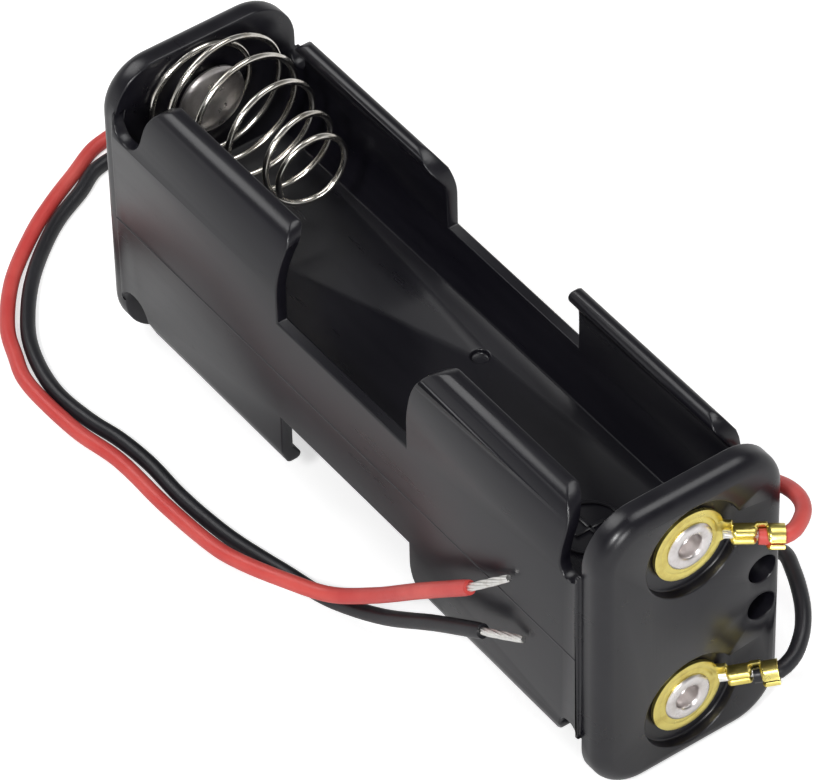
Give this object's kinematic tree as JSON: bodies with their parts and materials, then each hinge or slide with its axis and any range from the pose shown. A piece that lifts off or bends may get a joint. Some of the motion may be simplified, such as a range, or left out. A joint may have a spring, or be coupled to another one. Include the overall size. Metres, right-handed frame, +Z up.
{
  "type": "cylindrical cell holder",
  "caption": "Open moulded holder for cylindrical cells back to back, with snap-in side clips, conical spring contacts, riveted crimp lugs and flying leads.",
  "frame": {"origin": "under the middle of the holder, on the plane that its two end plates stand on", "axes": "+X along the cells, towards the end plate with the crimp lugs; +Y across, towards the side the leads leave by; +Z up"},
  "size_m": [0.0813, 0.0348, 0.0267],
  "materials": {
    "shell": "moulded, glossy",
    "spring_wire": "nickel plated",
    "rivet_metal": "tin plated",
    "sheet_brass": "stamped",
    "insulation_red": "extruded, satin",
    "insulation_black": "extruded, satin",
    "tinned_strands": "tinned"
  },
  "bodies": {
    "holder": {"holder_body": "shell", "rivet_upper_lug_end": "rivet_metal", "rivet_lower_lug_end": "rivet_metal", "rivet_upper_link_end": "rivet_metal", "rivet_lower_link_end": "rivet_metal", "series_link": "sheet_brass", "lug_red": "sheet_brass", "lug_black": "sheet_brass", "lead_red": "insulation_red", "lead_black": "insulation_black", "strands_red_in_lug": "tinned_strands", "strands_black_in_lug": "tinned_strands", "strands_red_tip": "tinned_strands", "strands_black_tip": "tinned_strands"},
    "upper_spring": {"spring_upper": "spring_wire"},
    "lower_spring": {"spring_lower": "spring_wire"}
  },
  "joints": [
    {"name": "upper_spring_travel", "type": "slide", "parent": "holder", "child": "upper_spring", "axis": [-1, 0, 0], "range_m": [0, 0.0085], "stiffness_N_per_m": 600, "deforming": ["spring_upper"]},
    {"name": "lower_spring_travel", "type": "slide", "parent": "holder", "child": "lower_spring", "axis": [1, 0, 0], "range_m": [0, 0.0085], "stiffness_N_per_m": 600, "deforming": ["spring_lower"]}
  ]
}
